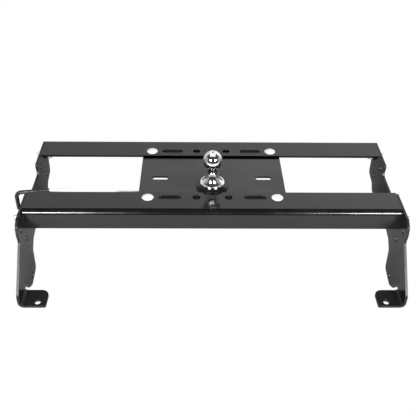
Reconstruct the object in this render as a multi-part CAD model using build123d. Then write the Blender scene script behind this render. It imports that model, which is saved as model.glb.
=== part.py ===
"""Under-bed gooseneck hitch kit for a pickup truck, with a removable 2-5/16 in ball.

Two bent angle rails carry a head plate with a ball socket between them. A side plate at each
end bolts to the truck's frame. A hand-pulled rod draws the latch pin out of the ball's shank.

Millimetres. The origin is the centre of the seated ball. +X runs along the rails to the right,
+Y from the front rail to the rear rail, +Z up. The deck plane is the top face of both rails.
"""

from build123d import *
import os
from math import sqrt

# Driving dimensions ------------------------------------------------------------------------
BALL_DIAMETER = 58.74
DECK_Z = -88.0
FRONT_WEB_Y = -134.0
REAR_WEB_Y = 262.0
RAIL_HALF_LENGTH = 545.0

# Rails: bent steel angle, web down on the outer side
RAIL_FLANGE = 97.0
RAIL_WEB = 61.5
RAIL_THICKNESS = 6.35
RAIL_BEND = 16.0
EDGE_BREAK = 0.8

# Hole rows in the rail flanges, repeated in the head plate below them
ROW_INSET = 70.0
ROUND_HOLE_X = 47.5
ROUND_HOLE_R = 11.5
SLOT_X = 125.0
SLOT_LENGTH = 66.0
SLOT_WIDTH = 19.0
DECK_BOLT_X = 190.0

# Head plate
HEAD_WIDTH = 438.0
HEAD_DEPTH = 330.0
HEAD_THICKNESS = 6.35
HEAD_CORNER = 10.0
HEAD_SLOT_X = 158.0
HEAD_SLOT_Y = 47.5
HEAD_SLOT_LENGTH = 50.0
HEAD_SLOT_WIDTH = 18.0
HEAD_ROUND_HOLE_R = 8.0
HEAD_ROW_SLOT_LENGTH = 63.0
HEAD_ROW_SLOT_WIDTH = 16.0

# Ball
BALL_FLAT_R = 9.5
NECK_R = 15.2
RING_R = 37.0
BELL_R = 32.0
RING_EDGE = 4.0
RING_TOP_Z = -73.0
RING_BOTTOM_Z = -80.0
SHANK_R = 31.4
SHANK_BOTTOM_Z = -168.0
GROOVE_R = 16.4
GROOVE_HALF_WIDTH = 11.0
SEAL_Z = -95.0
SEAL_WIRE_R = 1.8

# Socket and gussets
SOCKET_OUTER_R = 45.5
SOCKET_BORE_R = 31.5
SOCKET_BOTTOM_Z = -186.0
GUSSET_THICKNESS = 8.0
GUSSET_REACH = 42.0
GUSSET_DROP = 64.0
WELD_GAP = 0.3
RAIL_RELIEF_GAP = 1.0
SOCKET_BEVEL = 6.0

# Latch, along X on the left of the socket
LATCH_Z = -133.0
PIN_R = 9.5
PIN_TIP_X = -33.0
PIN_SHOULDER_X = -80.0
STEM_R = 6.0
STEM_END_X = -170.0
RUNNING_GAP = 0.05
HOUSING_OUTER_R = 19.0
HOUSING_INNER_R = 15.0
HOUSING_END_X = -125.0
CAP_THICKNESS = 6.0
SPRING_MEAN_R = 11.0
SPRING_WIRE_R = 1.1
SPRING_TURNS = 7
SPRING_SEAT_R = 14.2
SPRING_SEAT_THICKNESS = 3.0

# Release rod, in the plane Y = 0
ROD_R = 4.0
ROD_EYE_X = -158.0
ROD_FOOT_Z = -153.0
ROD_RUN_Z = -115.0
ROD_ROUTE = [
    (ROD_EYE_X, ROD_FOOT_Z, 0.0),
    (ROD_EYE_X, ROD_RUN_Z, 10.0),
    (-272.0, ROD_RUN_Z, 40.0),
    (-325.0, -96.0, 60.0),
    (-592.0, -118.0, 18.0),
    (-592.0, -176.0, 0.0),
]
GRIP_R = 6.0
GRIP_START_X = -490.0
GRIP_END_WALL = 3.0
COTTER_R = 1.1
COTTER_Z = -146.0
GUIDE_X = -205.0
GUIDE_THICKNESS = 5.0
GUIDE_WIDTH = 34.0
GUIDE_DEPTH = 24.0

# Side plates, drawn from the front rail's web face (Y) and the deck plane (Z)
PLATE_THICKNESS = 7.0
PLATE_OUTLINE = [
    (390, 0, 8),
    (390, -118, 14),
    (338, -129, 12),
    (322, -150, 14),
    (107, -150, 24),
    (73, -158, 24),
    (49, -181, 18),
    (45, -251, 16),
    (-18, -264, 12),
    (-50, -248, 8),
    (-71, -220, 6),
    (-93, -211, 4),
    (-93, -200, 0),
    (-159, -200, 0),
    (-159, -181, 16),
    (-54, -68, 14),
    (-60, -42, 10),
    (-57, -15, 10),
    (-35, 0, 12),
    (95, 0, 10),
    (107, -39, 12),
    (240, -39, 8),
    (247, -28, 6),
    (240, 0, 6),
    (286, 0, 4),
]
PLATE_HOLES = [(-28, -46), (12, -108), (-3, -241), (278, -32), (332, -93), (246, -110)]
PLATE_HOLE_R = 9.5
FOOT_FRONT = -159.0
FOOT_REAR = -93.0
FOOT_TOP = -216.0
FOOT_BEND = 10.0
FOOT_LENGTH = 71.0
FOOT_REAR_CORNER = 22.0
FOOT_FRONT_CORNER = 5.0
FOOT_HOLE_X = 499.5
FOOT_HOLE_Y = -143.0
FOOT_HOLE_R = 9.0

# End tabs welded in the rails, and the side bolts through them
TAB_THICKNESS = 8.0
TAB_WIDTH = 44.0
TAB_DEPTH = 50.0
TAB_CORNER = 11.0
SIDE_BOLT_INSET = 25.0
SIDE_BOLT_DROP = 41.0
SIDE_BOLT_R = 7.0
SIDE_HOLE_R = 7.5
SIDE_HEAD_FLATS = 21.0
SIDE_HEAD_HEIGHT = 9.0
SIDE_WASHER_R = 15.0
SIDE_WASHER_THICKNESS = 2.5
SIDE_NUT_HEIGHT = 13.0
SIDE_THREAD_END_X = 575.0
CHAMFER = 1.0

# Carriage bolts through the rails and the head plate
DECK_BOLT_R = 8.0
DECK_HEAD_R = 17.5
DECK_HEAD_HEIGHT = 8.0
DECK_NECK = 16.0
DECK_NECK_HEIGHT = 6.0
DECK_SQUARE_HOLE = 16.6
DECK_ROUND_HOLE_R = 8.8
DECK_WASHER_R = 17.0
DECK_WASHER_THICKNESS = 3.0
LOCK_WASHER_R = 13.5
LOCK_WASHER_THICKNESS = 4.0
LOCK_WASHER_SPLIT = 3.0
DECK_NUT_FLATS = 24.0
DECK_NUT_HEIGHT = 13.0
DECK_BOLT_LENGTH = 40.0
THREAD_GAP = 0.1

# Worked-out places -------------------------------------------------------------------------
BALL_R = BALL_DIAMETER / 2
RAIL_UNDERSIDE_Z = DECK_Z - RAIL_THICKNESS
HEAD_BOTTOM_Z = RAIL_UNDERSIDE_Z - HEAD_THICKNESS
MIDDLE_Y = (FRONT_WEB_Y + REAR_WEB_Y) / 2
ROW_Y = [FRONT_WEB_Y + ROW_INSET, REAR_WEB_Y - ROW_INSET]
PLATE_INNER_X = RAIL_HALF_LENGTH
PLATE_OUTER_X = RAIL_HALF_LENGTH + PLATE_THICKNESS
TAB_INNER_X = RAIL_HALF_LENGTH - TAB_THICKNESS
SIDE_BOLT_Y = {"front": FRONT_WEB_Y + SIDE_BOLT_INSET, "rear": REAR_WEB_Y - SIDE_BOLT_INSET}
SIDE_BOLT_Z = DECK_Z - SIDE_BOLT_DROP
ENDS = {"left": -1, "right": 1}
ALONG_X = Rot(0, 90, 0)


# Shared shapes -----------------------------------------------------------------------------
def rounded_face(corners):
    """A flat face in its own XY plane from (x, y, radius) corners."""
    face = make_face(Polyline(*[(x, y) for x, y, _ in corners], close=True))
    for x, y, radius in corners:
        if radius:
            corner = face.vertices().sort_by_distance((x, y, 0))[0]
            face = fillet(corner, radius)
    return face


def disc(outer, inner, height):
    """A flat ring with its lower face on Z = 0."""
    aligned = (Align.CENTER, Align.CENTER, Align.MIN)
    return Cylinder(outer, height, align=aligned) - Cylinder(inner, height, align=aligned)


def nut(flats, bore, height):
    """A hexagon nut with its lower face on Z = 0 and both faces chamfered round."""
    body = extrude(RegularPolygon(flats / 2, 6, major_radius=False), height)
    across = flats / sqrt(3)
    cone = Pos(0, 0, height / 2) * Cylinder(across, height)
    body &= chamfer(cone.edges().filter_by(GeomType.CIRCLE), CHAMFER)
    return body - Cylinder(bore, 3 * height)


def slot(x, y, z, length, width):
    """A cutter for an obround slot along X."""
    return Pos(x, y, z) * extrude(SlotOverall(length, width), 20, both=True)


def flange_cuts(round_r, slot_length, slot_width):
    """Round holes and slots of both rows, for the rails or for the head plate under them."""
    cuts = []
    for y in ROW_Y:
        for side in (-1, 1):
            cuts.append(Pos(side * ROUND_HOLE_X, y, DECK_Z) * Cylinder(round_r, 60))
            cuts.append(slot(side * SLOT_X, y, DECK_Z, slot_length, slot_width))
    return cuts


# Rails and head plate ----------------------------------------------------------------------
def rail(facing):
    """A rail with its web on the front (facing -1) or the rear (facing 1)."""
    profile = rounded_face(
        [
            (0, 0, RAIL_BEND),
            (-RAIL_FLANGE, 0, EDGE_BREAK),
            (-RAIL_FLANGE, -RAIL_THICKNESS, EDGE_BREAK),
            (-RAIL_THICKNESS, -RAIL_THICKNESS, RAIL_BEND - RAIL_THICKNESS),
            (-RAIL_THICKNESS, -RAIL_WEB, EDGE_BREAK),
            (0, -RAIL_WEB, EDGE_BREAK),
        ]
    )
    body = extrude(Plane.YZ * profile, RAIL_HALF_LENGTH, both=True)
    if facing < 0:
        body = mirror(body, about=Plane.XZ)
    body = Pos(0, FRONT_WEB_Y if facing < 0 else REAR_WEB_Y, DECK_Z) * body
    y = ROW_Y[0] if facing < 0 else ROW_Y[1]
    for side in (-1, 1):
        square = Box(DECK_SQUARE_HOLE, DECK_SQUARE_HOLE, 60)
        body -= Pos(side * DECK_BOLT_X, y, DECK_Z) * square
    for cut in flange_cuts(ROUND_HOLE_R, SLOT_LENGTH, SLOT_WIDTH):
        body -= cut
    return body - Pos(0, 0, DECK_Z) * Cylinder(SOCKET_OUTER_R + RAIL_RELIEF_GAP, 60)


def rail_end_tab(end, row):
    """The plate welded square into one end of a rail."""
    outline = [
        (0, 0, 0),
        (TAB_WIDTH, 0, 6),
        (TAB_WIDTH, -TAB_DEPTH + 18, 10),
        (TAB_WIDTH - 22, -TAB_DEPTH, 10),
        (0, -TAB_DEPTH, 3),
    ]
    face = chamfer(rounded_face(outline).vertices().sort_by_distance((0, 0, 0))[0], TAB_CORNER)
    body = extrude(Plane.YZ * face, TAB_THICKNESS)
    if row == "rear":
        body = mirror(body, about=Plane.XZ)
    web_y = FRONT_WEB_Y + RAIL_THICKNESS if row == "front" else REAR_WEB_Y - RAIL_THICKNESS
    body = Pos(TAB_INNER_X, web_y, RAIL_UNDERSIDE_Z) * body
    hole = Pos(TAB_INNER_X, SIDE_BOLT_Y[row], SIDE_BOLT_Z) * ALONG_X * Cylinder(SIDE_HOLE_R, 60)
    body -= hole
    return body if end > 0 else mirror(body, about=Plane.YZ)


def head_plate():
    """The flat plate bolted under both rails, bored for the ball socket."""
    half = HEAD_THICKNESS / 2
    face = RectangleRounded(HEAD_WIDTH, HEAD_DEPTH, HEAD_CORNER)
    body = Pos(0, MIDDLE_Y, HEAD_BOTTOM_Z) * extrude(face, HEAD_THICKNESS)
    body -= Pos(0, 0, HEAD_BOTTOM_Z + half) * Cylinder(SOCKET_OUTER_R + WELD_GAP, 60)
    for side in (-1, 1):
        body -= slot(side * HEAD_SLOT_X, HEAD_SLOT_Y, HEAD_BOTTOM_Z, HEAD_SLOT_LENGTH, HEAD_SLOT_WIDTH)
        for y in ROW_Y:
            body -= Pos(side * DECK_BOLT_X, y, HEAD_BOTTOM_Z) * Cylinder(DECK_ROUND_HOLE_R, 60)
    for cut in flange_cuts(HEAD_ROUND_HOLE_R, HEAD_ROW_SLOT_LENGTH, HEAD_ROW_SLOT_WIDTH):
        body -= cut
    return body


# Side plates -------------------------------------------------------------------------------
def side_plate(end):
    """A cut side plate with its lower front tongue bent inward into a foot."""
    plate = extrude(Plane.YZ * rounded_face(PLATE_OUTLINE), PLATE_THICKNESS)
    body = Pos(PLATE_INNER_X, 0, 0) * plate
    foot_bottom = FOOT_TOP - PLATE_THICKNESS
    toe_x = PLATE_INNER_X - FOOT_LENGTH
    section = [
        (PLATE_INNER_X, -200, 0),
        (PLATE_OUTER_X, -200, 0),
        (PLATE_OUTER_X, foot_bottom, FOOT_BEND + PLATE_THICKNESS),
        (toe_x, foot_bottom, 0),
        (toe_x, FOOT_TOP, 0),
        (PLATE_INNER_X, FOOT_TOP, FOOT_BEND),
    ]
    foot = extrude(Plane.XZ * rounded_face(section), FOOT_REAR - FOOT_FRONT)
    foot = Pos(0, FOOT_REAR, 0) * foot
    toe_edges = foot.edges().filter_by(Axis.Z).group_by(Axis.X)[0].sort_by(Axis.Y)
    foot = fillet(toe_edges[-1], FOOT_REAR_CORNER)
    toe_edges = foot.edges().filter_by(Axis.Z).group_by(Axis.X)[0].sort_by(Axis.Y)
    foot = fillet(toe_edges[0], FOOT_FRONT_CORNER)
    foot -= Pos(FOOT_HOLE_X, FOOT_HOLE_Y, FOOT_TOP) * Cylinder(FOOT_HOLE_R, 60)
    body += foot
    for y, z in PLATE_HOLES:
        body -= Pos(PLATE_INNER_X, y, z) * ALONG_X * Cylinder(PLATE_HOLE_R, 60)
    body = Pos(0, FRONT_WEB_Y, DECK_Z) * body
    for y in SIDE_BOLT_Y.values():
        body -= Pos(PLATE_INNER_X, y, SIDE_BOLT_Z) * ALONG_X * Cylinder(SIDE_HOLE_R, 60)
    return body if end > 0 else mirror(body, about=Plane.YZ)


# Ball, seal and socket ---------------------------------------------------------------------
def hitch_ball():
    """Ball, neck, bell base, ring flange and grooved shank, turned from one bar."""
    ball_flat_z = sqrt(BALL_R**2 - BALL_FLAT_R**2)
    neck_top_r = NECK_R + 1.8
    neck_top_z = -sqrt(BALL_R**2 - neck_top_r**2)
    ball_arc = ThreePointArc((BALL_FLAT_R, ball_flat_z), (BALL_R, 0), (neck_top_r, neck_top_z))
    bell = Spline(
        (neck_top_r, neck_top_z),
        (NECK_R, -35.0),
        (NECK_R + 1.8, -47.0),
        (NECK_R + 5.4, -57.0),
        (NECK_R + 10.8, -66.0),
        (BELL_R, RING_TOP_Z),
        tangents=[(-0.5, -1.0), (0.8, -0.8)],
    )
    groove_top = LATCH_Z + GROOVE_HALF_WIDTH
    groove_bottom = LATCH_Z - GROOVE_HALF_WIDTH
    base = Polyline(
        (BELL_R, RING_TOP_Z),
        (RING_R - RING_EDGE, RING_TOP_Z),
        (RING_R - 1.2, RING_TOP_Z - 1.2),
        (RING_R, RING_TOP_Z - RING_EDGE),
        (RING_R, RING_BOTTOM_Z + 1.0),
        (RING_R - 1.0, RING_BOTTOM_Z),
        (SHANK_R, RING_BOTTOM_Z),
        (SHANK_R, groove_top + 2.0),
        (SHANK_R - 2.0, groove_top),
        (GROOVE_R, groove_top),
        (GROOVE_R, groove_bottom),
        (SHANK_R - 2.0, groove_bottom),
        (SHANK_R, groove_bottom - 2.0),
        (SHANK_R, SHANK_BOTTOM_Z + 3.0),
        (SHANK_R - 3.0, SHANK_BOTTOM_Z),
        (0, SHANK_BOTTOM_Z),
        (0, ball_flat_z),
        (BALL_FLAT_R, ball_flat_z),
    )
    half = make_face(Plane.XZ * (Curve() + [ball_arc, bell, base]))
    body = revolve(half, Axis.Z)
    seal_groove = Torus(SHANK_R, SEAL_WIRE_R + RUNNING_GAP)
    return body - Pos(0, 0, SEAL_Z) * seal_groove


def shank_o_ring():
    """The rubber ring in the shank's upper groove, flush with the shank."""
    ring = Pos(0, 0, SEAL_Z) * Torus(SHANK_R, SEAL_WIRE_R)
    return ring & Pos(0, 0, SEAL_Z) * Cylinder(SHANK_R, 4 * SEAL_WIRE_R)


def ball_socket():
    """The thick tube welded through the head plate, drilled on the left for the latch pin."""
    top_z = RING_BOTTOM_Z
    height = top_z - SOCKET_BOTTOM_Z
    body = Pos(0, 0, SOCKET_BOTTOM_Z) * disc(SOCKET_OUTER_R, SOCKET_BORE_R, height)
    body = chamfer(body.edges().filter_by(GeomType.CIRCLE).group_by(Axis.Z)[-1].sort_by(SortBy.LENGTH)[-1], SOCKET_BEVEL)
    depth = SOCKET_OUTER_R + 10
    pin_hole = Cylinder(PIN_R + RUNNING_GAP, depth, align=(Align.CENTER, Align.CENTER, Align.MAX))
    return body - Pos(0, 0, LATCH_Z) * ALONG_X * pin_hole


def gusset(angle):
    """A triangular rib between the head plate and the socket tube, at an angle about +Z."""
    inner = SOCKET_OUTER_R + WELD_GAP
    outline = [
        (inner, 0, 0),
        (inner + GUSSET_REACH, 0, 3),
        (inner + GUSSET_REACH, -10, 4),
        (inner + 8, -GUSSET_DROP, 4),
        (inner, -GUSSET_DROP, 2),
    ]
    rib = extrude(Plane.XZ * rounded_face(outline), GUSSET_THICKNESS / 2, both=True)
    return Pos(0, 0, HEAD_BOTTOM_Z) * Rot(0, 0, angle) * rib


# Latch -------------------------------------------------------------------------------------
def latch_pin():
    """The locking pin and its thinner stem, cross-drilled for the rod's foot."""
    pin_length = PIN_TIP_X - PIN_SHOULDER_X
    pin = Pos(PIN_TIP_X - pin_length / 2, 0, LATCH_Z) * ALONG_X * Cylinder(PIN_R, pin_length)
    pin = chamfer(pin.edges().sort_by(Axis.X)[-1], 2 * CHAMFER)
    stem_length = PIN_SHOULDER_X - STEM_END_X
    stem = Pos(STEM_END_X + stem_length / 2, 0, LATCH_Z) * ALONG_X * Cylinder(STEM_R, stem_length)
    stem = chamfer(stem.edges().sort_by(Axis.X)[0], CHAMFER)
    body = pin + stem
    return body - Pos(ROD_EYE_X, 0, LATCH_Z) * Cylinder(ROD_R + THREAD_GAP, 40)


def latch_housing():
    """The tube welded to the socket around the pin and its spring."""
    length = -HOUSING_END_X
    tube = Pos(HOUSING_END_X, 0, LATCH_Z) * ALONG_X * disc(HOUSING_OUTER_R, HOUSING_INNER_R, length)
    return tube - Pos(0, 0, LATCH_Z) * Cylinder(SOCKET_OUTER_R + WELD_GAP, 80)


def housing_cap():
    """The end plate of the housing, which guides the stem."""
    ring = disc(HOUSING_OUTER_R, STEM_R + RUNNING_GAP, CAP_THICKNESS)
    return Pos(HOUSING_END_X - CAP_THICKNESS, 0, LATCH_Z) * ALONG_X * ring


def spring_seat():
    """The washer on the stem that the spring pushes against the pin's shoulder."""
    ring = disc(SPRING_SEAT_R, STEM_R + RUNNING_GAP, SPRING_SEAT_THICKNESS)
    return Pos(PIN_SHOULDER_X - SPRING_SEAT_THICKNESS, 0, LATCH_Z) * ALONG_X * ring


def latch_spring():
    """The compression spring around the stem, held compressed while the latch is open."""
    low_x = HOUSING_END_X + SPRING_WIRE_R + THREAD_GAP
    high_x = PIN_SHOULDER_X - SPRING_SEAT_THICKNESS - SPRING_WIRE_R - THREAD_GAP
    length = high_x - low_x
    coil = Helix(length / SPRING_TURNS, length, SPRING_MEAN_R)
    section = Plane(coil @ 0, z_dir=coil % 0) * Circle(SPRING_WIRE_R)
    return Pos(low_x, 0, LATCH_Z) * ALONG_X * sweep(section, coil, is_frenet=True)


# Release rod -------------------------------------------------------------------------------
def rod_path(route):
    """A filleted wire in the plane Y = 0 through (x, z, bend radius) points."""
    points = [(x, 0, z) for x, z, _ in route]
    return FilletPolyline(*points, radius=[r for _, _, r in route[1:-1]])


def swept_bar(path, radius):
    """A round bar along a path."""
    return sweep(Plane(path @ 0, z_dir=path % 0) * Circle(radius), path)


def release_rod():
    """The bent wire rod, with its foot drilled for the cotter pin."""
    body = swept_bar(rod_path(ROD_ROUTE), ROD_R)
    return body - Pos(ROD_EYE_X, 0, COTTER_Z) * Rot(90, 0, 0) * Cylinder(COTTER_R + THREAD_GAP, 20)


def handle_grip():
    """The dipped vinyl sleeve over the outer end of the rod, closed at its tip."""
    (run_x, run_z, _), (bend_x, bend_z, _), (tip_x, tip_z, _) = ROD_ROUTE[-3:]
    share = (GRIP_START_X - run_x) / (bend_x - run_x)
    route = [(GRIP_START_X, run_z + share * (bend_z - run_z), 0)] + ROD_ROUTE[-2:]
    cover_route = route[:-1] + [(tip_x, tip_z - GRIP_END_WALL, 0)]
    sleeve = swept_bar(rod_path(cover_route), GRIP_R)
    sleeve = fillet(sleeve.edges().group_by(Axis.Z)[0], GRIP_END_WALL - CHAMFER)
    return sleeve - swept_bar(rod_path(route), ROD_R)


def rod_cotter():
    """The cotter pin through the rod's foot, with its round eye."""
    leg_length = 4 * ROD_R
    leg = Rot(90, 0, 0) * Cylinder(COTTER_R, leg_length)
    eye_r = 3 * COTTER_R
    eye = Pos(0, leg_length / 2 + eye_r - COTTER_R / 2, 0) * Rot(0, 90, 0) * Torus(eye_r, COTTER_R * 0.8)
    return Pos(ROD_EYE_X, 0, COTTER_Z) * (leg + eye)


def rod_guide():
    """The drilled bracket under the head plate that carries the rod."""
    face = [
        (-GUIDE_WIDTH / 2, 0, 0),
        (GUIDE_WIDTH / 2, 0, 0),
        (GUIDE_WIDTH / 2, -GUIDE_DEPTH, 8),
        (-GUIDE_WIDTH / 2, -GUIDE_DEPTH, 8),
    ]
    body = extrude(Plane.YZ * rounded_face(face), GUIDE_THICKNESS)
    body = Pos(GUIDE_X, 0, HEAD_BOTTOM_Z) * body
    hole = Pos(GUIDE_X, 0, ROD_RUN_Z) * ALONG_X * Cylinder(ROD_R + RUNNING_GAP, 40)
    return body - hole


# Side fasteners, drawn along +X at the right end ---------------------------------------------
def at_side(shape, end, row, x):
    """Places a shape drawn along +Z at x on a side bolt's axis, mirrored for the left end."""
    placed = Pos(x, SIDE_BOLT_Y[row], SIDE_BOLT_Z) * ALONG_X * shape
    return placed if end > 0 else mirror(placed, about=Plane.YZ)


def side_bolt():
    """A hexagon bolt, head downward, with its seat on Z = 0."""
    head = extrude(RegularPolygon(SIDE_HEAD_FLATS / 2, 6, major_radius=False), -SIDE_HEAD_HEIGHT)
    seat_x = TAB_INNER_X - SIDE_WASHER_THICKNESS
    length = SIDE_THREAD_END_X - seat_x
    shank = Pos(0, 0, length / 2) * Cylinder(SIDE_BOLT_R, length)
    shank = chamfer(shank.edges().filter_by(GeomType.CIRCLE).sort_by(Axis.Z)[-1], CHAMFER)
    return head + shank


def side_washers():
    """The inner and outer flat washers of one side bolt, as two solids."""
    ring = disc(SIDE_WASHER_R, SIDE_HOLE_R, SIDE_WASHER_THICKNESS)
    inner_x = TAB_INNER_X - SIDE_WASHER_THICKNESS
    return [(ring, inner_x), (ring, PLATE_OUTER_X)]


# Deck fasteners ------------------------------------------------------------------------------
def deck_bolt():
    """A carriage bolt with a domed head, a square neck and its seat on Z = 0."""
    dome_r = (DECK_HEAD_R**2 + DECK_HEAD_HEIGHT**2) / (2 * DECK_HEAD_HEIGHT)
    dome = Pos(0, 0, DECK_HEAD_HEIGHT - dome_r) * Sphere(dome_r)
    head = dome & Pos(0, 0, DECK_HEAD_HEIGHT) * Cylinder(DECK_HEAD_R, 2 * DECK_HEAD_HEIGHT)
    neck = Pos(0, 0, -DECK_NECK_HEIGHT / 2) * Box(DECK_NECK, DECK_NECK, DECK_NECK_HEIGHT)
    shank = Pos(0, 0, -DECK_BOLT_LENGTH / 2) * Cylinder(DECK_BOLT_R, DECK_BOLT_LENGTH)
    shank = chamfer(shank.edges().filter_by(GeomType.CIRCLE).sort_by(Axis.Z)[0], CHAMFER)
    return head + neck + shank


def deck_lock_washer():
    """A split spring washer with its upper face on Z = 0."""
    ring = Pos(0, 0, -LOCK_WASHER_THICKNESS) * disc(LOCK_WASHER_R, DECK_ROUND_HOLE_R, LOCK_WASHER_THICKNESS)
    split = Box(LOCK_WASHER_R, LOCK_WASHER_SPLIT, 6 * LOCK_WASHER_THICKNESS)
    return ring - Pos(LOCK_WASHER_R, 0, 0) * Rot(20, 0, 0) * split


# Output --------------------------------------------------------------------------------------
def write(name, *solids):
    """Writes one node from one or more separate solids."""
    shape = solids[0] if len(solids) == 1 else Compound(children=list(solids))
    export_step(shape, f"parts/{name}.step")


def write_frame():
    """Rails, tabs, side plates, head plate, socket and gussets."""
    write("front_rail", rail(-1))
    write("rear_rail", rail(1))
    write("head_plate", head_plate())
    write("ball_socket", ball_socket())
    for name, angle in {"rear_right": 45, "rear_left": 135, "front_left": 225, "front_right": 315}.items():
        write(f"{name}_gusset", gusset(angle))
    for side, end in ENDS.items():
        write(f"{side}_side_plate", side_plate(end))
        for row in SIDE_BOLT_Y:
            write(f"{row}_{side}_end_tab", rail_end_tab(end, row))


def write_latch():
    """The latch, its release rod and the ball."""
    write("hitch_ball", hitch_ball())
    write("shank_o_ring", shank_o_ring())
    write("latch_pin", latch_pin())
    write("latch_housing", latch_housing())
    write("latch_housing_cap", housing_cap())
    write("latch_spring_seat", spring_seat())
    write("latch_spring", latch_spring())
    write("release_rod", release_rod())
    write("handle_grip", handle_grip())
    write("rod_cotter_pin", rod_cotter())
    write("rod_guide_bracket", rod_guide())


def write_side_fasteners():
    """A bolt, a nut and two washers at each of the four plate ears."""
    for side, end in ENDS.items():
        for row in SIDE_BOLT_Y:
            nut_x = PLATE_OUTER_X + SIDE_WASHER_THICKNESS
            seat_x = TAB_INNER_X - SIDE_WASHER_THICKNESS
            side_nut = nut(SIDE_HEAD_FLATS, SIDE_BOLT_R + THREAD_GAP, SIDE_NUT_HEIGHT)
            write(f"{row}_{side}_side_bolt", at_side(side_bolt(), end, row, seat_x))
            write(f"{row}_{side}_side_nut", at_side(side_nut, end, row, nut_x))
            rings = [at_side(ring, end, row, x) for ring, x in side_washers()]
            write(f"{row}_{side}_side_washers", *rings)


def write_deck_fasteners():
    """A carriage bolt, flat washer, lock washer and nut at each corner of the head plate."""
    washer_z = HEAD_BOTTOM_Z - DECK_WASHER_THICKNESS
    nut_z = washer_z - LOCK_WASHER_THICKNESS - DECK_NUT_HEIGHT
    for row, y in zip(("front", "rear"), ROW_Y):
        for side, end in ENDS.items():
            x = end * DECK_BOLT_X
            washer = disc(DECK_WASHER_R, DECK_ROUND_HOLE_R, DECK_WASHER_THICKNESS)
            deck_nut = nut(DECK_NUT_FLATS, DECK_BOLT_R + THREAD_GAP, DECK_NUT_HEIGHT)
            write(f"{row}_{side}_deck_bolt", Pos(x, y, DECK_Z) * deck_bolt())
            write(f"{row}_{side}_deck_washer", Pos(x, y, washer_z) * washer)
            write(f"{row}_{side}_lock_washer", Pos(x, y, washer_z) * deck_lock_washer())
            write(f"{row}_{side}_deck_nut", Pos(x, y, nut_z) * deck_nut)


os.makedirs("parts", exist_ok=True)
write_frame()
write_latch()
write_side_fasteners()
write_deck_fasteners()
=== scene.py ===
"""Finishes, fasteners, welds and studio for an under-bed gooseneck hitch kit.

Two coated angle rails and a head plate carry a chrome ball in a socket. Side plates close both
ends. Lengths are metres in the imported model's frame: +X along the rails, +Y to the rear, +Z up.
"""

import logging
import math
import random
from collections.abc import Callable, Sequence
from dataclasses import dataclass
from enum import Enum

import bmesh
import bpy
from mathutils import Matrix, Vector


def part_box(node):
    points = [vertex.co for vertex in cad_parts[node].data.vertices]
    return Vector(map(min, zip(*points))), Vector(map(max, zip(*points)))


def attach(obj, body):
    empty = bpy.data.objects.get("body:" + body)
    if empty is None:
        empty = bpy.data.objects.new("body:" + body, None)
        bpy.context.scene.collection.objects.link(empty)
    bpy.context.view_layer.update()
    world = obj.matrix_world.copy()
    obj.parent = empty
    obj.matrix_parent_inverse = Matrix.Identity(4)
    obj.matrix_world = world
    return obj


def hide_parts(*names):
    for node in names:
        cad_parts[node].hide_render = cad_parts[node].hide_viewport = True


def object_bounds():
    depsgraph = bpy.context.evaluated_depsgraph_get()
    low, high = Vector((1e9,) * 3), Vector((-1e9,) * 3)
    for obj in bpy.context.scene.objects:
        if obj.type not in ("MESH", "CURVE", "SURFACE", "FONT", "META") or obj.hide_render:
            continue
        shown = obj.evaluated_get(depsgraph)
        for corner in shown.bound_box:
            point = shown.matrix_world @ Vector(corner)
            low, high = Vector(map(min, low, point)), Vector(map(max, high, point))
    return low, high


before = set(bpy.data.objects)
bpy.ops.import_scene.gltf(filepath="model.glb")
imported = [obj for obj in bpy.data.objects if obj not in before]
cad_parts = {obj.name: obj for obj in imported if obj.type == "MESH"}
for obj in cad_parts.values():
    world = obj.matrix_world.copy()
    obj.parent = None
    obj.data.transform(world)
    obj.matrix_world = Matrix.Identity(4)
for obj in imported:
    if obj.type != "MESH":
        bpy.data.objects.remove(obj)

CAD_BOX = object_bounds()
LOG = logging.getLogger("hitch_kit")
FULL_TURN = 2 * math.pi
SEGMENTS = 72
MAP_WIDTH = 0.02
EDGE_SAMPLES = 4
SIDES = {"left": -1, "right": 1}
ROWS = ("front", "rear")
CORNERS = [f"{row}_{side}" for row in ROWS for side in SIDES]
UP = Vector((0, 0, 1))
WHITE = (1.0, 1.0, 1.0)

Mesh = bmesh.types.BMesh
Material = bpy.types.Material
Plug = bpy.types.NodeSocket
Plugs = bpy.types.NodeOutputs
Row = Callable[[float], tuple[float, float]]
Profile = list[tuple[float, float]]
Colour = tuple[float, float, float]
Band = tuple[float, float]


class Slot(Enum):
    """The material slots that new pieces carry."""

    COAT = "black_powder_coat"
    ZINC = "zinc_plate"
    CHROME = "chrome_ball"


class CutAxis(Enum):
    """The direction through a cut plate, along which its cut faces are scored."""

    ALONG_X = (0.04, 1.0, 1.0)
    ALONG_Z = (1.0, 1.0, 0.04)


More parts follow.
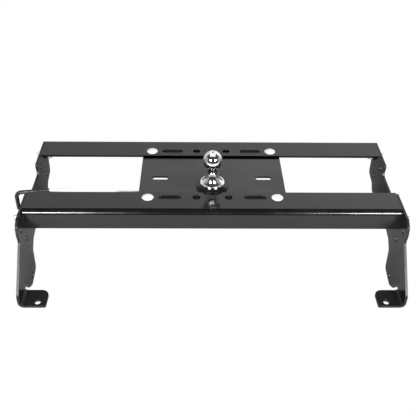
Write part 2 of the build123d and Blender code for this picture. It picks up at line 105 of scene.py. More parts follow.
# Shader wiring -------------------------------------------------------------------------------
class Wiring:
    """Adds and joins nodes in one node tree."""

    def __init__(self, tree: bpy.types.NodeTree) -> None:
        """Keeps the tree that the nodes go in."""
        self.tree = tree

    def add(
        self, kind: str, feeds: dict[int | str, object] | None = None, **settings: object
    ) -> bpy.types.Node:
        """Adds a node.

        Args:
            kind: the node's Blender type name.
            feeds: an input's name or number, and the socket or the constant that goes in it.
            settings: the node's own properties.

        Returns:
            The new node.
        """
        node = self.tree.nodes.new(kind)
        for name, value in settings.items():
            setattr(node, name, value)
        for key, value in (feeds or {}).items():
            self.feed(node.inputs[key], value)
        return node

    def feed(self, socket: Plug, value: object) -> None:
        """Fills an input.

        Args:
            socket: the input.
            value: another node's output to link, or a constant.
        """
        if isinstance(value, Plug):
            self.tree.links.new(value, socket)
        else:
            socket.default_value = value

    def math(self, operation: str, *values: object) -> Plug:
        """Does one sum with a Math node, and returns its result."""
        return self.add("ShaderNodeMath", dict(enumerate(values)), operation=operation).outputs[0]

    def vectors(self, operation: str, *values: object) -> Plugs:
        """Does one sum with a Vector Math node, and returns its outputs."""
        feeds = dict(enumerate(values))
        return self.add("ShaderNodeVectorMath", feeds, operation=operation).outputs

    def axes(self, vector: Plug) -> Plugs:
        """Splits a vector into its X, Y and Z outputs."""
        return self.add("ShaderNodeSeparateXYZ", {0: vector}).outputs

    def noise(
        self, where: object, scale: object, detail: float, **more: float
    ) -> Plug:
        """Adds a noise texture with any more inputs it is given, and returns its value."""
        feeds = {"Vector": where, "Scale": scale, "Detail": detail, **more}
        return self.add("ShaderNodeTexNoise", feeds).outputs["Fac"]

    def ramp(
        self, value: object, band: Band, to_low: float = 0.0, to_high: float = 1.0
    ) -> Plug:
        """Maps a value smoothly from one range to another.

        Args:
            value: the socket to map.
            band: the values that give to_low and to_high.
            to_low: the result at the band's first value.
            to_high: the result at its second.

        Returns:
            The result's socket.
        """
        names = ("Value", "From Min", "From Max", "To Min", "To Max")
        feeds = dict(zip(names, (value, *band, to_low, to_high)))
        node = self.add("ShaderNodeMapRange", feeds, interpolation_type="SMOOTHSTEP")
        return node.outputs["Result"]

    def blend(self, share: object, first: object, second: object) -> Plug:
        """Mixes two colours.

        Args:
            share: how much of the second colour shows.
            first: a colour or its socket.
            second: a colour or its socket.

        Returns:
            The mixed colour's socket.
        """
        node = self.add("ShaderNodeMix", {"Factor": share}, data_type="RGBA")
        for socket, colour in zip((s for s in node.inputs if s.type == "RGBA"), (first, second)):
            plain = not isinstance(colour, Plug)
            self.feed(socket, (*colour, 1.0) if plain else colour)
        return next(s for s in node.outputs if s.type == "RGBA")


def build_effect(
    name: str, make: Callable[[Wiring, Plugs], dict[str, Plug]], **inputs: str
) -> None:
    """Builds an effect that finishes share, as a node group with named inputs and outputs.

    Args:
        name: the group's name.
        make: makes the named outputs, which are Floats, from the inputs.
        inputs: each input besides the Vector, and whether it is a Vector or a Float.
    """
    tree = bpy.data.node_groups.new(name, "ShaderNodeTree")
    for label, kind in {"Vector": "Vector", **inputs}.items():
        tree.interface.new_socket(label, in_out="INPUT", socket_type=f"NodeSocket{kind}")
    wiring = Wiring(tree)
    results = make(wiring, wiring.add("NodeGroupInput").outputs)
    for label in results:
        tree.interface.new_socket(label, in_out="OUTPUT", socket_type="NodeSocketFloat")
    wiring.add("NodeGroupOutput", results)


def orange_peel(wiring: Wiring, source: Plugs) -> dict[str, Plug]:
    """Makes the fine waviness of a baked powder coat and of dipped vinyl.

    Args:
        wiring: the group's wiring.
        source: the group's inputs.

    Returns:
        The group's outputs by name.
    """
    finer, share = 3.1, 0.3
    broad = wiring.noise(source["Vector"], source["Scale"], 2.0)
    fine = wiring.noise(source["Vector"], wiring.math("MULTIPLY", source["Scale"], finer), 1.0)
    return {"Height": wiring.math("MULTIPLY_ADD", fine, share, broad)}


def blotches(wiring: Wiring, source: Plugs) -> dict[str, Plug]:
    """Makes the slow cloudy variation of a plated or coated surface."""
    noise = wiring.noise(source["Vector"], source["Scale"], 5.0, Roughness=0.62, Distortion=0.35)
    return {"Value": wiring.ramp(noise, (0.32, 0.68))}


def edge_wear_and_highlight(wiring: Wiring, source: Plugs) -> dict[str, Plug]:
    """Finds the outside edges, broken up so that they look handled and not drawn. The coat lightens
    them there, partly as edge wear and partly as a painted highlight.

    Args:
        wiring: the group's wiring.
        source: the group's inputs.

    Returns:
        The group's outputs by name.
    """
    flat_to_sharp, worn_through, breaks_scale = (0.985, 0.80), (0.42, 0.66), 160.0
    rounded = wiring.add("ShaderNodeBevel", {"Radius": source["Radius"]}, samples=EDGE_SAMPLES)
    facing = wiring.add("ShaderNodeNewGeometry").outputs["Normal"]
    turn = wiring.vectors("DOT_PRODUCT", rounded.outputs["Normal"], facing)["Value"]
    breaks = wiring.ramp(wiring.noise(source["Vector"], breaks_scale, 4.0), worn_through, 0.1)
    return {"Mask": wiring.math("MULTIPLY", wiring.ramp(turn, flat_to_sharp), breaks)}


def settled_dust(wiring: Wiring, source: Plugs) -> dict[str, Plug]:
    """Finds where a little dust settles: on faces that look up, in patches and specks.

    Args:
        wiring: the group's wiring.
        source: the group's inputs.

    Returns:
        The group's outputs by name.
    """
    patch_scale, patch_share, speck_scale, speck_share = 7.0, 0.5, 230.0, 0.6
    facing = wiring.add("ShaderNodeNewGeometry").outputs["Normal"]
    flat = wiring.ramp(wiring.axes(facing)["Z"], (0.55, 0.98))
    patches = wiring.noise(source["Vector"], patch_scale, 6.0)
    cloud = wiring.ramp(patches, (0.38, 0.72), 0.0, patch_share)
    specks = wiring.add("ShaderNodeTexVoronoi", {"Vector": source["Vector"], "Scale": speck_scale})
    grains = wiring.ramp(specks.outputs["Distance"], (0.10, 0.05), 0.0, speck_share)
    return {"Mask": wiring.math("MULTIPLY", flat, wiring.math("ADD", cloud, grains))}


def cut_scoring(wiring: Wiring, source: Plugs) -> dict[str, Plug]:
    """Makes the fine lines that a cutter leaves across a plate's edge, under the coat.

    Args:
        wiring: the group's wiring.
        source: the group's inputs.

    Returns:
        The group's outputs by name.
    """
    lines_scale, edge_band = 1100.0, (0.5, 0.9)
    stretched = wiring.vectors("MULTIPLY", source["Vector"], source["Across"])["Vector"]
    facing = wiring.add("ShaderNodeNewGeometry").outputs["True Normal"]
    along = wiring.vectors("MULTIPLY", facing, source["Across"])["Vector"]
    mask = wiring.ramp(wiring.vectors("LENGTH", along)["Value"], edge_band)
    lines = wiring.noise(stretched, lines_scale, 2.0)
    return {"Height": wiring.math("MULTIPLY", lines, mask), "Mask": mask}


def turned_lines(wiring: Wiring, source: Plugs) -> dict[str, Plug]:
    """Makes the fine rings that a lathe leaves, from a turned piece's own map."""
    squeezed = wiring.vectors("MULTIPLY", source["Vector"], (0.6, 1.0, 1.0))["Vector"]
    return {"Height": wiring.noise(squeezed, source["Scale"], 3.0, Roughness=0.7)}


# Finishes ------------------------------------------------------------------------------------
class Surface:
    """A material in the making, with its shader and its coordinates."""

    def __init__(self, name: str, constants: dict[str, float]) -> None:
        """Starts the material.

        Args:
            name: the material's name.
            constants: the shader's sockets that are the same all over.
        """
        self.material = bpy.data.materials.new(name)
        self.material.use_nodes = True
        self.shader = self.material.node_tree.nodes["Principled BSDF"]
        for socket, value in constants.items():
            self.shader.inputs[socket].default_value = value
        self.wiring = Wiring(self.material.node_tree)
        self.coordinates = self.wiring.add("ShaderNodeTexCoord").outputs

    def effect(self, group: str, **feeds: object) -> Plugs:
        """Places a shared effect.

        Args:
            group: the effect's name.
            feeds: its inputs. The Vector is the place on the object if none is given.

        Returns:
            The effect's outputs.
        """
        feeds = {"Vector": self.coordinates["Object"], **feeds}
        tree = bpy.data.node_groups[group]
        return self.wiring.add("ShaderNodeGroup", feeds, node_tree=tree).outputs

    def clouds(
        self, scale: float, first: Colour, second: Colour, smooth: float, dull: float
    ) -> tuple[Plug, Plug]:
        """Makes the base that drifts in clouds.

        Args:
            scale: how many clouds there are to a metre.
            first: the colour between them.
            second: the colour in them.
            smooth: the roughness between them.
            dull: the roughness in them.

        Returns:
            The colour and the roughness.
        """
        share = self.effect("Blotches", Scale=scale)["Value"]
        gloss = self.wiring.ramp(share, (0.0, 1.0), smooth, dull)
        return self.wiring.blend(share, first, second), gloss

    def finish(
        self, colour: object, gloss: object, height: object, depth: float, edge_radius: float = 0.0
    ) -> Material:
        """Joins the results to the shader.

        Args:
            colour: the base colour.
            gloss: the roughness.
            height: the fine relief.
            depth: the relief's depth.
            edge_radius: the radius that softens the edges, or 0 to leave them.

        Returns:
            The material.
        """
        feeds = {"Height": height, "Distance": depth}
        if edge_radius:
            bevel = {"Radius": edge_radius}
            edges = self.wiring.add("ShaderNodeBevel", bevel, samples=EDGE_SAMPLES)
            feeds["Normal"] = edges.outputs["Normal"]
        relief = self.wiring.add("ShaderNodeBump", feeds).outputs["Normal"]
        for socket, value in {"Base Color": colour, "Roughness": gloss, "Normal": relief}.items():
            self.wiring.feed(self.shader.inputs[socket], value)
        return self.material


@dataclass(frozen=True)
class PowderCoat:
    """Black semi-gloss powder coat on cut and bent steel."""

    name: str = "black powder coat"
    dark: Colour = (0.0036, 0.0034, 0.0036)
    light: Colour = (0.0064, 0.0060, 0.0063)
    # The grey that the edges lighten towards: partly worn coat, partly a painted highlight along
    # the edges.
    rubbed_and_lit: Colour = (0.075, 0.075, 0.077)
    rubbed_and_lit_share: float = 0.45
    dust: Colour = (0.17, 0.16, 0.15)
    dust_share: float = 0.012
    dust_dulling: float = 0.06
    smooth: float = 0.15
    dull: float = 0.21
    cloud_scale: float = 9.0
    peel_scale: float = 620.0
    peel_depth: float = 0.000006
    edge_radius: float = 0.0009
    ior: float = 1.5
    cut: CutAxis | None = None
    scoring: float = 1.5
    scoring_dulling: float = 0.26

    def build(self) -> Material:
        """Builds the finish and returns its material."""
        surface = Surface(self.name, {"IOR": self.ior})
        wiring = surface.wiring
        mix = (self.cloud_scale, self.dark, self.light, self.smooth, self.dull)
        coat, gloss = surface.clouds(*mix)
        wear_and_highlight = surface.effect("Edge Wear And Highlight", Radius=self.edge_radius)["Mask"]
        dust = surface.effect("Settled Dust")["Mask"]
        # Painted highlight: the edges are lightened towards the rubbed grey, partly as wear on the
        # coat and partly standing in for light catching the edges.
        coat = wiring.blend(wiring.math("MULTIPLY", wear_and_highlight, self.rubbed_and_lit_share), coat, self.rubbed_and_lit)
        coat = wiring.blend(wiring.math("MULTIPLY", dust, self.dust_share), coat, self.dust)
        gloss = wiring.math("MULTIPLY_ADD", dust, self.dust_dulling, gloss)
        height = surface.effect("Orange Peel", Scale=self.peel_scale)["Height"]
        if self.cut:
            scored = surface.effect("Cut Scoring", Across=self.cut.value)
            height = wiring.math("MULTIPLY_ADD", scored["Height"], self.scoring, height)
            gloss = wiring.math("MULTIPLY_ADD", scored["Mask"], self.scoring_dulling, gloss)
        return surface.finish(coat, gloss, height, self.peel_depth, self.edge_radius)


@dataclass(frozen=True)
class PlatedMetal:
    """Bright plated steel: zinc on the fasteners and the rod, or the darker skin of spring wire."""

    name: str = "bright zinc"
    bright: Colour = (0.90, 0.91, 0.92)
    dim: Colour = (0.74, 0.76, 0.78)
    smooth: float = 0.36
    dull: float = 0.52
    metal: float = 1.0
    cloud_scale: float = 120.0
    grain_scale: float = 1500.0
    grain_depth: float = 0.00001
    edge_radius: float = 0.0005

    def build(self) -> Material:
        """Builds the finish and returns its material."""
        surface = Surface(self.name, {"Metallic": self.metal})
        mix = (self.cloud_scale, self.bright, self.dim, self.smooth, self.dull)
        colour, gloss = surface.clouds(*mix)
        grain = surface.effect("Orange Peel", Scale=self.grain_scale)["Height"]
        return surface.finish(colour, gloss, grain, self.grain_depth, self.edge_radius)


@dataclass(frozen=True)
class ChromePlate:
    """Mirror chrome over a turned ball, with the lathe's rings just showing."""

    name: str = "polished chrome"
    bright: Colour = (0.93, 0.935, 0.94)
    smoky: Colour = (0.80, 0.81, 0.83)
    smooth: float = 0.035
    dull: float = 0.085
    cloud_scale: float = 30.0
    ring_scale: float = 900.0
    ring_depth: float = 0.0000012

    def build(self) -> Material:
        """Builds the finish and returns its material."""
        surface = Surface(self.name, {"Metallic": 1.0})
        mix = (self.cloud_scale, self.bright, self.smoky, self.smooth, self.dull)
        colour, gloss = surface.clouds(*mix)
        turned = surface.coordinates["UV"]
        rings = surface.effect("Turned Lines", Vector=turned, Scale=self.ring_scale)["Height"]
        return surface.finish(colour, gloss, rings, self.ring_depth)


@dataclass(frozen=True)
class SoftPolymer:
    """Dipped vinyl or seal rubber."""

    name: str
    dark: Colour
    light: Colour
    smooth: float
    dull: float
    dust: Colour = (0.2, 0.19, 0.18)
    dust_share: float = 0.06
    ior: float = 1.52
    cloud_scale: float = 60.0
    skin_scale: float = 420.0
    skin_depth: float = 0.00004

    def build(self) -> Material:
        """Builds the finish and returns its material."""
        surface = Surface(self.name, {"IOR": self.ior})
        wiring = surface.wiring
        mix = (self.cloud_scale, self.dark, self.light, self.smooth, self.dull)
        colour, gloss = surface.clouds(*mix)
        dust = wiring.math("MULTIPLY", surface.effect("Settled Dust")["Mask"], self.dust_share)
        colour = wiring.blend(dust, colour, self.dust)
        skin = surface.effect("Orange Peel", Scale=self.skin_scale)["Height"]
        return surface.finish(colour, gloss, skin, self.skin_depth)


class Finishes:
    def __init__(self) -> None:
        """Builds the shared effects and the materials."""
        build_effect("Orange Peel", orange_peel, Scale="Float")
        build_effect("Blotches", blotches, Scale="Float")
        build_effect("Edge Wear And Highlight", edge_wear_and_highlight, Radius="Float")
        build_effect("Settled Dust", settled_dust)
        build_effect("Cut Scoring", cut_scoring, Across="Vector")
        build_effect("Turned Lines", turned_lines, Scale="Float")
        self.coat = PowderCoat().build()
        name = "black powder coat on the side plates"
        self.side_coat = PowderCoat(name, cut=CutAxis.ALONG_X).build()
        # Painted light: the head plate's copy of the coat is lighter in colour and more reflective
        # than the rails' coat, standing in for the softbox light it is kept from.
        self.plate_coat_lightened = PowderCoat(
            name="black powder coat on the head plate",
            dark=(0.0110, 0.0105, 0.0109),
            light=(0.0240, 0.0229, 0.0238),
            smooth=0.20,
            dull=0.28,
            ior=1.64,
            cut=CutAxis.ALONG_Z,
        ).build()
        name = "black powder coat on welds"
        self.weld_coat = PowderCoat(name, smooth=0.26, dull=0.36, peel_depth=0.00003).build()
        self.zinc = PlatedMetal(metal=0.30).build()
        bright, dim = (0.42, 0.42, 0.43), (0.24, 0.24, 0.25)
        self.spring = PlatedMetal("spring wire", bright, dim, 0.28, 0.42).build()
        self.chrome = ChromePlate().build()
        dark, light = (0.010, 0.010, 0.011), (0.017, 0.017, 0.018)
        self.vinyl = SoftPolymer("dipped black vinyl", dark, light, 0.34, 0.46).build()
        dark, light = (0.014, 0.014, 0.014), (0.024, 0.024, 0.024)
        self.rubber = SoftPolymer("seal rubber", dark, light, 0.55, 0.7).build()


# Pieces --------------------------------------------------------------------------------------
def dress(nodes: Sequence[str], material: Material) -> None:
    """Gives CAD nodes their finish.

    Args:
        nodes: the nodes' names.
        material: the finish.
    """
    for name in nodes:
        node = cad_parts[name]
        if not node.material_slots:
            node.data.materials.append(material)
        for holder in node.material_slots:
            holder.material = material
        LOG.info("dressed %s in %s", name, material.name)


@dataclass
class Piece:
    """A new mesh on its way into the scene."""

    name: str
    mesh: Mesh
    material: Material
    slot: Slot
    body: str = "frame"
    sharp_from: float = 38.0
    stands_for: tuple[str, ...] = ()

    def place(self) -> bpy.types.Object:
        """Writes the mesh, joins it to its body and returns its object."""
        bmesh.ops.recalc_face_normals(self.mesh, faces=self.mesh.faces[:])
        data = bpy.data.meshes.new(self.name)
        self.mesh.to_mesh(data)
        self.mesh.free()
        data.polygons.foreach_set("use_smooth", [True] * len(data.polygons))
        data.set_sharp_from_angle(angle=math.radians(self.sharp_from))
        data.materials.append(self.material)
        item = bpy.data.objects.new(self.name, data)
        bpy.context.scene.collection.objects.link(item)
        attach(item, self.body)
        if self.stands_for:
            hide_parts(*self.stands_for)
        LOG.info("made %s with %d faces on %s", self.name, len(data.polygons), self.body)
        return item


def spin(
    rows: Sequence[Row], segments: int = SEGMENTS, ring: bool = False
) -> Mesh:
    """Spins a profile about +Z, with a map whose height runs along the profile.

    Args:
        rows: a function for each row, from the angle to its radius and height.
        segments: the steps round the axis.
        ring: True joins the last row to the first, and False closes each end with a cap.

    Returns:
        The closed mesh.
    """
    mesh = bmesh.new()
    turned = mesh.loops.layers.uv.new("Turned")
    loops, heights, travelled = [], [], 0.0
    for row in rows:
        corners = []
        for step in range(segments):
            angle = FULL_TURN * step / segments
            radius, height = row(angle)
            place = (radius * math.cos(angle), radius * math.sin(angle), height)
            corners.append(mesh.verts.new(place))
        if loops:
            travelled += (corners[0].co - loops[-1][0].co).length
        loops.append(corners)
        heights.append(travelled)
    last = len(loops) - 1
    for low, high in [(i, i + 1) for i in range(last)] + ([(last, 0)] if ring else []):
        for step in range(segments):
            marks = ((step, low), (step + 1, low), (step + 1, high), (step, high))
            face = mesh.faces.new([loops[at][turn % segments] for turn, at in marks])
            for loop, (turn, at) in zip(face.loops, marks):
                loop[turned].uv = (turn / segments * MAP_WIDTH, heights[at])
    if not ring:
        for corners in (loops[0], loops[-1]):
            middle = mesh.verts.new(sum((c.co for c in corners), Vector()) / segments)
            for step in range(segments):
                mesh.faces.new((corners[step], corners[(step + 1) % segments], middle))
    return mesh


def bow(
    centre: tuple[float, float], radius: float, start: float, end: float, steps: int
) -> Profile:
    """Points of an arc in a profile, in degrees from 0 outward to 90 upward."""
    angles = [math.radians(start + (end - start) * i / steps) for i in range(steps + 1)]
    return [(centre[0] + radius * math.cos(a), centre[1] + radius * math.sin(a)) for a in angles]


def level(radius: float, height: float) -> Row:
    """A row with the same radius and height all the way round."""
    return lambda angle: (radius, height)


def thread_rows(
    radius: float, pitch: float, low: float, high: float, runout: float = 0.004
) -> list[Row]:
    """Makes the rows of a screw thread.

    Args:
        radius: the thread's outer radius.
        pitch: the distance from crest to crest.
        low: the free end's height.
        high: the height where the thread runs out into the plain shank.
        runout: the length over which it fades.

    Returns:
        Rows from low to high.
    """
    depth, start_share, fade_step = 0.54 * pitch, 0.45, 0.0001
    count = math.ceil((high - low) / pitch * 8)

    def row_at(height: float) -> Row:
        """Makes the thread's section at one height.

        Args:
            height: the height.

        Returns:
            The section's row.
        """
        share = min(1.0, (high - height) / runout) * min(
            1.0, start_share + (height - low) / pitch
        )

        def row(angle: float) -> tuple[float, float]:
            """Finds one point of the section.

            Args:
                angle: the point's angle.

            Returns:
                Its radius and height.
            """
            phase = (height / pitch - angle / FULL_TURN) % 1.0
            groove = min(1.0, 1.25 * (1.0 - abs(2.0 * phase - 1.0)))
            return radius - depth * share * (1 - groove) - (1 - share) * fade_step, height

        return row

    return [row_at(low + (high - low) * number / count) for number in range(count + 1)]


@dataclass(frozen=True)
class HexShape:
    """A hexagon with its corners turned off at one or both faces."""

    flats: float
    height: float
    tilt: float = math.tan(math.radians(28))
    face_share: float = 0.965

    def corner_radius(self, angle: float) -> float:
        """The hexagon's radius at an angle."""
        off = (angle + math.pi / 6) % (math.pi / 3) - math.pi / 6
        return self.flats / 2 / math.cos(off)

    def rim(self, height: float, inward: float) -> Row:
        """The edge between a flat and the turned-off corner.

        Args:
            height: the face's height.
            inward: +1 if the body lies above the face, or -1 below it.

        Returns:
            The edge's row.
        """
        turned = self.flats / 2 * self.face_share

        def row(angle: float) -> tuple[float, float]:
            """Radius and height at one angle."""
            radius = self.corner_radius(angle)
            return radius, height + inward * (radius - turned) * self.tilt

        return row

    def face_circle(self, height: float) -> Row:
        """The round edge of an end face."""
        return level(self.flats / 2 * self.face_share, height)


def hex_nut(shape: HexShape, bore: float, pitch: float) -> Mesh:
    """Builds a nut standing on Z = 0, with a countersunk threaded bore.

    Args:
        shape: the outside.
        bore: the bore's radius.
        pitch: the thread's pitch.

    Returns:
        The nut's mesh.
    """
    height, sink, groove = shape.height, 0.0009, 0.0003
    rows = [shape.face_circle(0.0), shape.rim(0.0, 1), shape.rim(height, -1)]
    rows += [shape.face_circle(height), level(bore + sink, height)]
    turns = math.ceil(height / pitch * 4)
    for number in range(turns + 1):
        z = height - sink - (height - 2 * sink) * number / turns
        wave = FULL_TURN * z / pitch
        rows.append(lambda a, z=z, wave=wave: (bore + groove * math.sin(wave - a), z))
    return spin([*rows, level(bore + sink, 0.0)], ring=True)


def join(*meshes: Mesh) -> Mesh:
    """Joins separate closed shells into one mesh.

    Args:
        meshes: the shells, which are used up.

    Returns:
        One mesh with all of them.
    """
    whole = bmesh.new()
    for mesh in meshes:
        carrier = bpy.data.meshes.new("shell")
        mesh.to_mesh(carrier)
        mesh.free()
        whole.from_mesh(carrier)
        bpy.data.meshes.remove(carrier)
    return whole


@dataclass
class Fasteners:
    """What the deck's and the sides' zinc-plated fasteners share."""

    finishes: Finishes

    def put(self, name: str, node: str, mesh: Mesh, place: Matrix) -> None:
        """Moves a bolt or a nut to its place, and adds it instead of its CAD node."""
        mesh.transform(place)
        Piece(name, mesh, self.finishes.zinc, Slot.ZINC, stands_for=(node,)).place()


@dataclass
class DeckFasteners(Fasteners):
    """Carriage bolts and nuts that hold the head plate under the rails."""

    head_radius: float = 0.0175
    head_height: float = 0.008
    neck_width: float = 0.016
    neck_height: float = 0.006
    shank_radius: float = 0.008
    length: float = 0.040
    thread_top: float = -0.014
    pitch: float = 0.002
    nut: HexShape = HexShape(0.024, 0.013)
    nut_bore: float = 0.0081

    def bolt(self) -> Mesh:
        """Builds a bolt with its seat on Z = 0 and returns its mesh."""
        lip, height = self.head_radius, self.head_height
        dome = (lip**2 + height**2) / (2 * height)
        rim_angle = 90 - math.degrees(math.asin(lip / dome))
        crown = bow((0.0, height - dome), dome, 90, rim_angle, 14)[1:-1]
        rim = [(lip - 0.0006, 0.0011), (lip - 0.0001, 0.0007), (lip - 0.0004, 0.0), (0.009, 0.0)]
        head = spin([level(*point) for point in crown + rim])
        neck = bmesh.new()
        bmesh.ops.create_cube(neck, size=1.0)
        size = (self.neck_width, self.neck_width, self.neck_height, 1.0)
        drop = Matrix.Translation((0, 0, -self.neck_height / 2))
        neck.transform(drop @ Matrix.Diagonal(size))
        edges = neck.edges[:]
        bmesh.ops.bevel(neck, geom=edges, offset=0.0008, segments=2, profile=0.6, affect="EDGES")
        thread = thread_rows(self.shank_radius, self.pitch, -self.length, self.thread_top)
        end = level(self.shank_radius - 0.0017, -self.length)
        shank = spin([end, *thread, level(self.shank_radius, -0.003)])
        return join(head, neck, shank)

    def build(self) -> None:
        """Builds the four bolts and nuts, and dresses their washers."""
        for corner in CORNERS:
            bolt_node, nut_node = f"{corner}_deck_bolt", f"{corner}_deck_nut"
            low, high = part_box(bolt_node)
            x, y = (low.x + high.x) / 2, (low.y + high.y) / 2
            seat = Matrix.Translation((x, y, high.z - self.head_height))
            self.put(f"{corner}_carriage_bolt", bolt_node, self.bolt(), seat)
            under = Matrix.Translation((x, y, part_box(nut_node)[0].z))
            nut = hex_nut(self.nut, self.nut_bore, self.pitch)
            self.put(f"{corner}_deck_hex_nut", nut_node, nut, under)
            dress([f"{corner}_deck_washer", f"{corner}_lock_washer"], self.finishes.zinc)


@dataclass
class SideFasteners(Fasteners):
    """Hexagon bolts and nuts through the end tabs and the side plates."""

    head: HexShape = HexShape(0.021, 0.009)
    nut: HexShape = HexShape(0.021, 0.013)
    shank_radius: float = 0.007
    nut_bore: float = 0.0071
    pitch: float = 0.0018
    seat_ring: float = 0.0006

    def bolt(self, length: float) -> Mesh:
        """Builds a bolt with its seat on Z = 0 and its head below.

        Args:
            length: from the seat to the thread's end.

        Returns:
            The bolt's mesh.
        """
        half, depth, ring = self.head.flats / 2, self.head.height, self.seat_ring
        rows = [
            level(half * 0.80, -depth + 0.0003),
            self.head.face_circle(-depth),
            self.head.rim(-depth, 1),
            lambda angle: (self.head.corner_radius(angle), -ring),
            level(half * 0.97, -ring),
            level(half * 0.96, 0.0),
        ]
        thread = thread_rows(self.shank_radius, self.pitch, -length, -0.012)
        end = level(self.shank_radius - 0.0014, -length)
        shank = spin([end, *thread, level(self.shank_radius, 0.001)])
        shank.transform(Matrix.Diagonal((1.0, -1.0, -1.0, 1.0)))
        return join(spin(rows), shank)

    def build(self) -> None:
        """Builds the four bolts and nuts, and dresses their washers."""
        for side, way in SIDES.items():
            turn = Matrix.Rotation(way * math.pi / 2, 4, "Y")
            for row in ROWS:
                corner = f"{row}_{side}"
                bolt_node, nut_node = f"{corner}_side_bolt", f"{corner}_side_nut"
                low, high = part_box(bolt_node)
                inner, outer = sorted((low.x, high.x), key=abs)
                y, z = (low.y + high.y) / 2, (low.z + high.z) / 2
                seat = inner + way * self.head.height
                bolt, place = self.bolt(abs(outer - seat)), Matrix.Translation((seat, y, z))
                self.put(f"{corner}_side_hex_bolt", bolt_node, bolt, place @ turn)
                face = min((end.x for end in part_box(nut_node)), key=abs)
                nut = hex_nut(self.nut, self.nut_bore, self.pitch)
                place = Matrix.Translation((face, y, z))
                self.put(f"{corner}_side_hex_nut", nut_node, nut, place @ turn)
                dress([f"{corner}_side_washers"], self.finishes.zinc)


@dataclass
class Ball:
    """The removable ball: sphere, neck, bell, ring and grooved shank, with its seal."""

    finishes: Finishes
    radius: float = 0.02937
    flat_radius: float = 0.0095
    neck_radius: float = 0.0152
    neck_flare: float = 0.0018
    bell_radius: float = 0.032
    ring_radius: float = 0.037
    ring_top: float = -0.073
    ring_rounding: float = 0.004
    ring_bottom: float = -0.080
    shank_radius: float = 0.0314
    groove_radius: float = 0.0164
    groove_half: float = 0.011
    latch_height: float = -0.133
    shank_bottom: float = -0.168
    seal_height: float = -0.095
    seal_wire: float = 0.00185
    segments: int = 160

    def sphere(self) -> Profile:
        """The ball from its flat top down to the neck."""
        start = math.degrees(math.acos(self.flat_radius / self.radius))
        end = -math.degrees(math.acos((self.neck_radius + self.neck_flare) / self.radius))
        return bow((0.0, 0.0), self.radius, start, end, 72)

    def bell(self) -> Profile:
        """The neck and the flared bell down to the ring."""
        neck, flare = self.neck_radius, self.neck_flare
        marks_and_slopes = [
            Vector((neck + flare, -0.02395, -0.0035, -0.0095)),
            Vector((neck, -0.035, -0.0002, -0.0115)),
            Vector((neck + flare, -0.047, 0.0027, -0.0110)),
            Vector((neck + 3 * flare, -0.057, 0.0045, -0.0095)),
            Vector((neck + 6 * flare, -0.066, 0.0057, -0.0080)),
            Vector((self.bell_radius, self.ring_top, 0.0062, -0.0064)),
        ]
        points, steps = [], 12
        for above, below in zip(marks_and_slopes, marks_and_slopes[1:]):
            for t in (step / steps for step in range(1, steps + 1)):
                point = (2 * t**3 - 3 * t**2 + 1) * above.xy + (3 * t**2 - 2 * t**3) * below.xy
                point += (t**3 - 2 * t**2 + t) * above.zw + (t**3 - t**2) * below.zw
                points.append(tuple(point))
        return points

    def foot(self) -> Profile:
        """The ring flange and the grooved shank."""
        ring, shank, round_r = self.ring_radius, self.shank_radius, self.ring_rounding
        inner, bottom_z = self.groove_radius, self.ring_bottom
        top, bottom = self.latch_height + self.groove_half, self.latch_height - self.groove_half
        chamfer, small, fine = 0.002, 0.001, 0.0008
        return [
            *bow((ring - round_r, self.ring_top - round_r), round_r, 90, 0, 8),
            (ring, bottom_z + small),
            (ring - small, bottom_z),
            (shank, bottom_z),
            *bow((shank, self.seal_height), self.seal_wire, 90, 270, 8),
            (shank, top + chamfer),
            (shank - chamfer, top),
            (inner + fine, top),
            (inner, top - fine),
            (inner, bottom + fine),
            (inner + fine, bottom),
            (shank - chamfer, bottom),
            (shank, bottom - chamfer),
            (shank, self.shank_bottom + 0.003),
            (shank - 0.003, self.shank_bottom),
        ]

    def build(self) -> None:
        """Builds the ball and dresses its seal."""
        sphere, flat = self.sphere(), self.flat_radius
        top = sphere[0][1]
        crown = [(0.0012, top - 0.0022), (0.0034, top - 0.0001), (0.0042, top)]
        crown.append((flat - 0.0004, top))
        profile = [*crown, *sphere[1:], *self.bell(), *self.foot()]
        mesh = spin([level(*point) for point in profile], self.segments)
        chrome = self.finishes.chrome
        Piece("chrome_ball", mesh, chrome, Slot.CHROME, "ball", 30.0, ("hitch_ball",)).place()
        dress(["shank_o_ring"], self.finishes.rubber)


